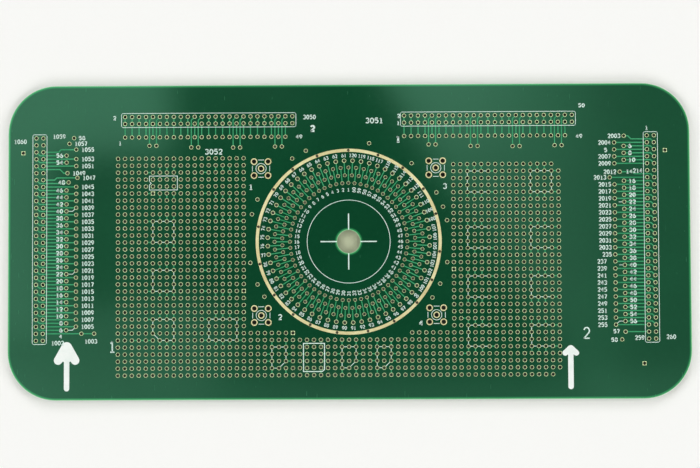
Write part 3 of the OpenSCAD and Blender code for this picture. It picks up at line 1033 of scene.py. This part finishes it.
@dataclass
class PrintedNumbers:
    """A set of numbers printed in one size."""

    name: str
    lettering: Lettering
    labels: list[Label]
    board_top: float
    ink_t: float = 0.08 * MM
    # Ends that lie nearer than this are one
    weld: float = 0.001 * MM

    def make(self, tree: bpy.types.NodeTree, finish: bpy.types.Material) -> bpy.types.Object:
        """Builds the set.

        Args:
            tree: The tree that lays ink along strokes.
            finish: The ink.

        Returns:
            The new piece.
        """
        digits = digit_strokes()
        height = self.board_top + self.ink_t / 2
        spots: list[Spot] = []
        edges: list[tuple[int, int]] = []
        for label in self.labels:
            for stroke in label.strokes(self.lettering, digits):
                closed = math.dist(stroke[0], stroke[-1]) < self.weld
                path = stroke[:-1] if closed else stroke
                first = len(spots)
                spots += [(x, y, height) for x, y in path]
                edges += [(first + i, first + i + 1) for i in range(len(path) - 1)]
                if closed:
                    edges.append((first + len(path) - 1, first))
        sizes = {"Stroke Width": self.lettering.pen, "Ink Thickness": self.ink_t, "Finish": finish}
        return grown(self.name, spots, edges, tree, sizes)


@dataclass
class RingNumbers:
    """The numbers inside and outside the four rings of pads."""

    pads: int = 60
    outer_r: float = 31.35 * MM
    inner_r: float = 18.85 * MM
    # Outer numbers that run along the radius
    across: frozenset[int] = frozenset({77, 83, 99, 108, 109, 110, 112, 113, 114, 115, 116})
    # A number turned further than this is printed the other way up
    steepest: float = 99.0
    # So are the outer numbers between these places
    turned_over: Point = (262.0, 271.0)

    def outer(self) -> list[Label]:
        """The numbers between the outer ring of pads and the guard ring.

        Returns:
            The labels, counter-clockwise from the top.
        """
        labels = []
        for i in range(self.pads):
            number = self.pads + 1 + i
            around = (i + 0.5) * 360 / self.pads
            turn = Turn.ACROSS if number in self.across else Turn.ALONG
            labels.append(self.label(str(number), self.outer_r, around, turn))
        return labels

    def inner(self) -> list[Label]:
        """The numbers inside the inner ring of pads.

        Returns:
            The labels, counter-clockwise from the top.
        """
        labels = []
        for i in range(self.pads):
            text = str(i + 1)
            turn = Turn.ALONG if len(text) == 1 else Turn.ACROSS
            labels.append(self.label(text, self.inner_r, i * 360 / self.pads, turn))
        return labels

    def label(self, text: str, radius: float, around: float, turn: Turn) -> Label:
        """One number on a circle.

        Args:
            text: The number.
            radius: The circle's radius.
            around: Where it stands, in degrees counter-clockwise from the top.
            turn: How it is turned.

        Returns:
            The label.
        """
        angle = around if turn is Turn.ALONG else around - 90
        while angle > self.steepest:
            angle -= 180
        if turn is Turn.ALONG and self.turned_over[0] < around < self.turned_over[1]:
            angle += 180
        x, y = -radius * math.sin(math.radians(around)), radius * math.cos(math.radians(around))
        return Label(text, x, y, angle)


@dataclass
class BreakoutNumbers:
    """The pin numbers beside the pads of the two side headers.

    Each header has a near column of pads beside it, numbered toward the header, and further pads
    numbered toward the middle of the board.
    """

    left: list[Land]
    right: list[Land]
    left_near_x: float = -102.6 * MM
    right_near_x: float = 99.95 * MM
    reach: float = 0.9 * MM
    left_near_gap: float = 1.4 * MM
    right_near_gap: float = 1.8 * MM
    far_gap: float = 2.0 * MM
    right_far_gap: float = 1.35 * MM
    low_gap: float = 3.2 * MM
    low_rows: int = 11

    def near(self, lands: list[Land], x: float) -> list[Land]:
        """The pads of a near column, from the top down."""
        return [land for land in lands if abs(land.x - x) < self.reach]

    def labels(
        self, lands: list[Land], numbers: Iterable[int | None], gaps: Iterable[float], anchor: Anchor
    ) -> list[Label]:
        """Numbers set beside pads.

        Args:
            lands: The pads in order.
            numbers: A number for each pad, or None where the pad has none.
            gaps: How far from the middle of each pad its number starts.
            anchor: The end of the number nearest its pad.

        Returns:
            The labels.
        """
        side = 1 if anchor is Anchor.LEFT else -1
        return [
            Label(str(number), land.x + side * gap, land.y, anchor=anchor)
            for land, number, gap in zip(lands, numbers, gaps)
            if number is not None
        ]

    def near_labels(self) -> list[Label]:
        """The even pins, numbered toward their header.

        Returns:
            The labels of both sides.
        """
        left, right = self.near(self.left, self.left_near_x), self.near(self.right, self.right_near_x)
        left_numbers = [56, 54, None, *range(48, 4, -2)]
        right_numbers = [None, 6, 8, 10, *range(16, 58, 2)]
        return [
            *self.labels(left, left_numbers, repeat(self.left_near_gap), Anchor.RIGHT),
            *self.labels(right, right_numbers, repeat(self.right_near_gap), Anchor.LEFT),
        ]

    def far_labels(self) -> list[Label]:
        """The other pads, numbered toward the middle: the header's number, then the pin's.

        Returns:
            The labels of both sides.
        """
        near = self.near(self.left, self.left_near_x)
        left = [land for land in self.left if land not in near or land is near[2]]
        near = self.near(self.right, self.right_near_x)
        right = [land for land in self.right if land not in near or land is near[0]]
        left_numbers = [None, *range(1057, 1003, -2)]
        right_numbers = [2003, 2004, None, 2007, 2009, 2012, *range(2013, 2035, 2), *range(235, 257, 2)]
        high_rows = len(right) - self.low_rows
        right_gaps = [self.right_far_gap] * high_rows + [self.low_gap] * self.low_rows
        return [
            *self.labels(left, left_numbers, repeat(self.far_gap), Anchor.LEFT),
            *self.labels(right, right_numbers, right_gaps, Anchor.RIGHT),
        ]


@dataclass(frozen=True)
class CornerNumbers:
    """The loose numbers beside headers and coax footprints, placed from the middle of each."""

    top_header_x: float = 50.8 * MM
    top_header_y: float = 44.45 * MM
    coax_x: float = 31.75 * MM
    coax_y: float = 26.67 * MM

    def spread(self, middle: Point, *numbers: tuple[str, float, float]) -> list[Label]:
        """Labels at steps from a middle, given in millimetres."""
        return [Label(text, middle[0] + dx * MM, middle[1] + dy * MM) for text, dx, dy in numbers]

    def sets(self) -> tuple[list[Label], ...]:
        """Places every set of loose numbers.

        Returns:
            The ends of the headers, the bold numbers of the two top headers, the tall numbers of the
            two side headers, the numbers of the coax footprints, of the pins that carry supplies, and
            of the two trimming points.
        """
        spread = self.spread
        left, right = (-self.top_header_x, self.top_header_y), (self.top_header_x, self.top_header_y)
        x, y = self.coax_x, self.coax_y
        ends = [
            *spread(left, ("2", -34.3, 0.9), ("1", -32.3, -8.3), ("49", 32.9, -6.2)),
            *spread(right, ("2", -32.4, 1.2), ("1", -32.6, -1.4), ("50", 34.0, 4.7), ("49", 33.0, -6.5)),
            *spread(CENTRE, ("4", -104.6, -34.0), ("58", -97.0, 38.1), ("57", 96.7, -32.9)),
            *spread(CENTRE, ("58", 95.9, -35.9), ("1", 108.3, 40.8), ("5", 93.4, 32.8)),
            *spread(CENTRE, ("14", 101.9, 25.0)),
        ]
        bold = [*spread(left, ("2", 37.85, -3.2)), *spread(right, ("1", -32.7, -7.3))]
        tall = spread(CENTRE, ("1", -85.9, -37.8), ("2", 85.9, -33.4))
        coax = [
            *spread((-x, y), ("1", -3.7, -6.7)),
            *spread((-x, -y), ("2", 6.8, -0.6)),
            *spread((x, y), ("3", 3.3, -6.7)),
            *spread((x, -y), ("4", -5.7, -2.9)),
        ]
        supplies = [
            *spread(CENTRE, ("1060", -119.5, 36.9), ("1059", -105.3, 38.7), ("3050", -14.1, 45.4)),
            *spread(CENTRE, ("1002", -105.7, -36.4), ("1003", -93.6, -35.8), ("214", 104.9, 25.3)),
            *spread(CENTRE, ("259", 105.0, -35.2), ("260", 116.4, -34.9)),
        ]
        trims = spread(CENTRE, ("3052", -49.0, 32.9), ("3051", 9.5, 44.0))
        return ends, bold, tall, coax, supplies, trims


@dataclass(frozen=True)
class SoftWindow:
    """A pale soft-edged opening in the dark ceiling, in slopes from straight up: 1 is 45 degrees.

    Each side is a pair: where the opening starts to show, and where it is full. A side that is None
    is open.
    """

    radiance: float
    x_from: Point | None = None
    x_to: Point | None = None
    y_from: Point | None = None
    y_to: Point | None = None
    lean: float = 0.0

    def wire(self, w: Wiring, x: Source, y: Source) -> bpy.types.NodeSocket:
        """Wires the opening into the sky.

        Args:
            w: The sky's wiring.
            x: The slope along the board.
            y: The slope across it.

        Returns:
            The opening's light in that direction.
        """
        along = w.math("MULTIPLY_ADD", y, self.lean, x)
        light: Source = self.radiance
        for slope, side in ((along, self.x_from), (x, self.x_to), (y, self.y_from), (y, self.y_to)):
            if side is not None:
                light = w.math("MULTIPLY", light, w.step(slope, *side))
        return light


# How far the streaks of light on the right turn from the Y axis, as a slope
STREAK_LEAN = 0.593


@dataclass
class Studio:
    """The floor, the lamps, the sky and the camera."""

    floor_colour: Colour = shade("fdfdfa")
    # Painted shade: the ground right under the board, which shows through its holes, is coloured darker.
    # It has the board's shape: the slimness is what the board's length counts for against its width
    ground_colour: Colour = shade("d2d8b8")
    ground_edge: Point = (0.052, 0.044)
    ground_slimness: float = 0.4616
    floor_fleck: float = 1.02
    floor_reach: float = 3.0
    floor_drop: float = 2 * MM
    floor_glow: float = 0.62
    floor_glow_from: Point = (0.45, 1.7)
    lamp_reach: float = 0.85
    lamp_height: float = 0.9
    lamp_size: float = 0.6
    lamp_radiance: float = 3.0
    sky_radiance: float = 0.35
    ceiling_radiance: float = 0.04
    # How high a direction points: where the backdrop gives way to the ceiling, and where its windows
    # start to show
    ceiling_from: Point = (0.12, 0.3)
    windows_from: Point = (0.86, 0.95)
    # The height that stands for all lower ones where a slope is worked out
    lowest: float = 0.05
    camera_lens: float = 70.87
    camera_place: Spot = (5.09 * MM, -14.48 * MM, 501.37 * MM)
    camera_tilt: Spot = (1.969, 0.534, -0.239)
    # The brightest window counts in each direction, and every veil adds to it
    windows: tuple[SoftWindow, ...] = (
        SoftWindow(1.85, x_to=(-0.126, -0.152), y_from=(0.088, 0.1)),
        SoftWindow(1.6, x_to=(-0.22, -0.236), y_from=(-0.048, -0.036)),
        SoftWindow(0.95, x_to=(-0.08, -0.122), y_to=(-0.003, -0.027)),
        SoftWindow(0.6, y_to=(-0.055, -0.08)),
        SoftWindow(0.25, x_to=(-0.122, -0.144)),
    )
    veils: tuple[SoftWindow, ...] = (
        SoftWindow(0.12, y_to=(-0.047, -0.08)),
        SoftWindow(0.5, x_to=(-0.19, -0.25), y_to=(-0.045, -0.085)),
        SoftWindow(0.28, x_from=(-0.14, -0.1), x_to=(0.0, -0.06), y_from=(0.075, 0.14)),
        SoftWindow(0.17, x_from=(0.1, 0.14), lean=STREAK_LEAN),
        SoftWindow(0.2, x_from=(0.098, 0.108), y_from=(-0.08, -0.05), lean=STREAK_LEAN),
        SoftWindow(0.46, (0.098, 0.108), (0.21, 0.14), y_from=(0.03, 0.06), lean=STREAK_LEAN),
        SoftWindow(0.46, (0.1, 0.13), (0.21, 0.14), y_to=(0.06, 0.03), lean=STREAK_LEAN),
        SoftWindow(1.1, (0.098, 0.108), (0.165, 0.06), y_from=(0.03, 0.15), lean=STREAK_LEAN),
    )

    def build(self) -> None:
        """Sets everything up."""
        self.floor()
        self.lamps()
        self.sky()
        self.camera()
        bpy.context.scene.view_settings.view_transform = "Standard"

    def looked_at(self, w: Wiring) -> bpy.types.NodeSocket:
        """Tells what the eye, gloss and glass see from what only gives light.

        Args:
            w: The wiring of the world or of a material.

        Returns:
            1 for a ray from the camera, a glossy face or a clear one, and 0 for the rest.
        """
        path = w.add("ShaderNodeLightPath").outputs
        seen = w.math("MAXIMUM", path["Is Camera Ray"], path["Is Glossy Ray"])
        return w.math("MAXIMUM", seen, path["Is Transmission Ray"])

    def floor(self) -> None:
        """Lays a plain pale floor under the board, with painted shade in the board's shape right under
        it.
        """
        mesh = bpy.data.meshes.new("floor")
        reach = self.floor_reach
        corners = [(-reach, -reach), (reach, -reach), (reach, reach), (-reach, reach)]
        mesh.from_pydata([(x, y, -self.floor_drop) for x, y in corners], [], [(0, 1, 2, 3)])
        material = bpy.data.materials.new("floor_card")
        material.use_nodes = True
        w = Wiring(material.node_tree)
        shader = material.node_tree.nodes["Principled BSDF"]
        place = w.object_place()
        grain = w.node("ShaderNodeTexNoise", Vector=place, Scale=900.0, Detail=2.0)
        paler = tuple(min(1.0, self.floor_fleck * level) for level in self.floor_colour)
        pale = w.blend(grain.outputs["Fac"], self.floor_colour, paler)
        axes = w.axes(place)
        along, across = (w.math("ABSOLUTE", axes[axis]) for axis in ("X", "Y"))
        # The board-shaped patch of painted shade right under the board
        rim = w.math("MAXIMUM", w.math("MULTIPLY", along, self.ground_slimness), across)
        away = w.step(w.length(place), *self.floor_glow_from)
        glow = w.math("MULTIPLY", away, self.floor_glow)
        w.fill(
            shader,
            Base_Color=w.blend(w.step(rim, *self.ground_edge), pale, self.ground_colour),
            Roughness=0.9,
            Specular_IOR_Level=0.1,
            Emission_Color=self.floor_colour,
            Emission_Strength=w.math("MULTIPLY", glow, self.looked_at(w)),
        )
        mesh.materials.append(material)
        linked("floor", mesh)

    def lamps(self) -> None:
        """Hangs four soft boxes round the board, outside what it mirrors to an eye above it."""
        for i, name in enumerate(("east", "north", "west", "south")):
            data = bpy.data.lights.new(f"soft_box_{name}", "AREA")
            data.shape = "SQUARE"
            data.size = self.lamp_size
            data.energy = self.lamp_radiance * math.pi * self.lamp_size**2
            lamp = linked(data.name, data)
            around = math.radians(90 * i)
            spot = Vector((math.cos(around), math.sin(around), 0.0)) * self.lamp_reach
            lamp.location = (spot.x, spot.y, self.lamp_height)
            lamp.rotation_euler = Vector(lamp.location).to_track_quat("Z", "Y").to_euler()
            lamp.visible_camera = False

    def sky(self) -> None:
        """Makes the world: even light, and for the eye and gloss the backdrop and a ceiling over it."""
        world = bpy.data.worlds.new("studio")
        bpy.context.scene.world = world
        world.use_nodes = True
        world.node_tree.nodes.clear()
        w = Wiring(world.node_tree)
        axes = w.axes(w.add("ShaderNodeTexCoord").outputs["Generated"])
        height = w.math("MAXIMUM", axes["Z"], self.lowest)
        x, y = (w.math("DIVIDE", axes[axis], height) for axis in ("X", "Y"))
        ceiling: Source = 0.0
        for window in self.windows:
            ceiling = w.math("MAXIMUM", ceiling, window.wire(w, x, y))
        for veil in self.veils:
            ceiling = w.math("ADD", ceiling, veil.wire(w, x, y))
        overhead = w.step(axes["Z"], *self.windows_from)
        ceiling = w.math("MULTIPLY_ADD", ceiling, overhead, self.ceiling_radiance)
        unseen = w.math("SUBTRACT", 1.0, w.add("ShaderNodeLightPath").outputs["Is Camera Ray"])
        above = w.math("MULTIPLY", w.step(axes["Z"], *self.ceiling_from), unseen)
        strength = w.math("MULTIPLY_ADD", w.math("SUBTRACT", ceiling, 1.0), above, 1.0)
        colour = w.blend(above, self.floor_colour, WHITE)
        backdrop = w.node("ShaderNodeBackground", Color=colour, Strength=strength)
        light = w.node("ShaderNodeBackground", Color=WHITE, Strength=self.sky_radiance)
        mixed = w.add("ShaderNodeMixShader")
        for socket, source in zip(mixed.inputs, (self.looked_at(w), light, backdrop)):
            w.feed(socket, source)
        w.node("ShaderNodeOutputWorld", Surface=mixed)

    def camera(self) -> None:
        """Looks almost straight down, from a little in front of the board's middle."""
        data = bpy.data.cameras.new("camera")
        data.sensor_width = 36.0
        data.lens = self.camera_lens
        data.clip_start, data.clip_end = 0.01, 20.0
        camera = linked("camera", data)
        camera.location = self.camera_place
        camera.rotation_euler = tuple(math.radians(angle) for angle in self.camera_tilt)
        bpy.context.scene.camera = camera


@dataclass
class TestBoard:
    """The whole board: its finishes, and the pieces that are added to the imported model."""

    nodes: dict[str, bpy.types.Object]
    corner_r: float = 17.5 * MM
    bore_r: float = 4.2 * MM
    # The ring of painted shade round the holes in the guard ring
    guard_shoulder: float = 0.15 * MM
    effects: Effects = field(default_factory=Effects)

    def dress(self) -> dict[Coat, bpy.types.Material]:
        """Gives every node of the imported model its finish.

        Returns:
            The finishes.
        """
        low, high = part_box("board")
        half = ((high.x - low.x) / 2, (high.y - low.y) / 2)
        mask = MaskFinish(Coat.MASK).material(self.effects, half, self.corner_r, self.bore_r)
        finishes = {Coat.MASK: mask}
        finishes |= {finish.coat: finish.material(self.effects) for finish in plain_finishes()}
        for name, node in self.nodes.items():
            coat = self.coat_of(name)
            node.data.materials.clear()
            node.data.materials.append(finishes[coat])
            LOG.info("%s: %s", name, coat.value)
        return finishes

    def coat_of(self, name: str) -> Coat:
        """Chooses the finish of a node.

        Args:
            name: The node's name.

        Returns:
            The finish's name.
        """
        if name == "board":
            return Coat.MASK
        if name.endswith("_tracks"):
            return Coat.TRACKS
        if name.startswith(("guard_ring", "coax_pads")):
            return Coat.RING
        if name.endswith("_pads"):
            return Coat.PADS
        return Coat.BOLD_INK if name.endswith("_arrow") else Coat.FINE_INK

    def add(self, piece: bpy.types.Object, slot: Slot) -> None:
        """Fixes a new piece to the board and reports it.

        Args:
            piece: The piece.
            slot: Its material slot. It is not used.
        """
        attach(piece, "root")
        LOG.info("%s: %d faces", piece.name, len(piece.data.polygons))

    def plate_holes(
        self, tree: bpy.types.NodeTree, barrel: bpy.types.Material, plating: bpy.types.Material
    ) -> None:
        """Lines every plated hole.

        Args:
            tree: The tree that sets eyelets on points.
            barrel: The finish of the walls, dark as painted shade.
            plating: The finish of the back lands.
        """
        groups: dict[str, list[Land]] = {}
        for name in (n for n in self.nodes if "_pads" in n):
            lands = lands_of(self.nodes[name])
            if name.startswith("coax_pads"):
                middle = (fmean(land.x for land in lands), fmean(land.y for land in lands))
                for land in lands:
                    central = math.dist((land.x, land.y), middle) < land.land_r
                    key = "coax_core_barrels" if central else "coax_pin_barrels"
                    groups.setdefault(key, []).append(land)
            else:
                groups[name.replace("_pads", "_barrels")] = lands
        groups["guard_ring_barrels"] = vias_of(self.nodes["guard_ring"])
        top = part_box("left_grid_pads")[1].z
        for name, lands in groups.items():
            holes = PlatedHoles(name, lands, top)
            if name == "guard_ring_barrels":
                holes.shoulder = self.guard_shoulder
            self.add(holes.make(tree, barrel, plating), Slot.PLATING)

    def print_numbers(self, tree: bpy.types.NodeTree, finish: bpy.types.Material) -> None:
        """Prints every number.

        Args:
            tree: The tree that lays ink along strokes.
            finish: The ink.
        """
        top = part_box("board")[1].z
        rings = RingNumbers()
        breakouts = BreakoutNumbers(
            lands_of(self.nodes["left_breakout_pads"]), lands_of(self.nodes["right_breakout_pads"])
        )
        ends, bold, tall, coax, supplies, trims = CornerNumbers().sets()
        ring_size = Lettering(1.13 * MM, 0.7 * MM, 0.24 * MM, 0.26 * MM)
        inner_size = Lettering(1.1 * MM, 0.72 * MM, 0.26 * MM, 0.27 * MM)
        pin_size = Lettering(1.32 * MM, 0.95 * MM, 0.37 * MM, 0.4 * MM)
        net_size = Lettering(1.4 * MM, 0.86 * MM, 0.32 * MM, 0.34 * MM)
        end_size = Lettering(1.25 * MM, 0.92 * MM, 0.34 * MM, 0.36 * MM)
        bold_size = Lettering(1.95 * MM, 1.35 * MM, 0.4 * MM, 0.68 * MM)
        tall_size = Lettering(3.9 * MM, 2.2 * MM, 0.8 * MM, 0.5 * MM)
        coax_size = Lettering(1.75 * MM, 1.25 * MM, 0.4 * MM, 0.4 * MM)
        sets = (
            ("outer_ring_numbers", ring_size, rings.outer()),
            ("inner_ring_numbers", inner_size, rings.inner()),
            ("even_pin_numbers", pin_size, breakouts.near_labels()),
            ("odd_pin_numbers", net_size, breakouts.far_labels()),
            ("end_pin_numbers", end_size, ends),
            ("top_header_numbers", bold_size, bold),
            ("side_header_numbers", tall_size, tall),
            ("coax_numbers", coax_size, coax),
            ("supply_pin_numbers", net_size, supplies),
            ("trim_numbers", coax_size, trims),
        )
        for name, size, labels in sets:
            self.add(PrintedNumbers(name, size, labels, top).make(tree, finish), Slot.INK)


def main() -> None:
    """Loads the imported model, dresses it, adds the missing pieces and sets up the studio."""
    logging.basicConfig(level=logging.INFO, format="%(name)s %(message)s")
    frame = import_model()
    board = TestBoard(frame["nodes"])
    finishes = board.dress()
    board.plate_holes(eyelet_tree(), finishes[Coat.BARRELS], finishes[Coat.PADS])
    board.print_numbers(ink_tree(), finishes[Coat.FINE_INK])
    Studio().build()
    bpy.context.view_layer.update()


if __name__ == "__main__":
    main()
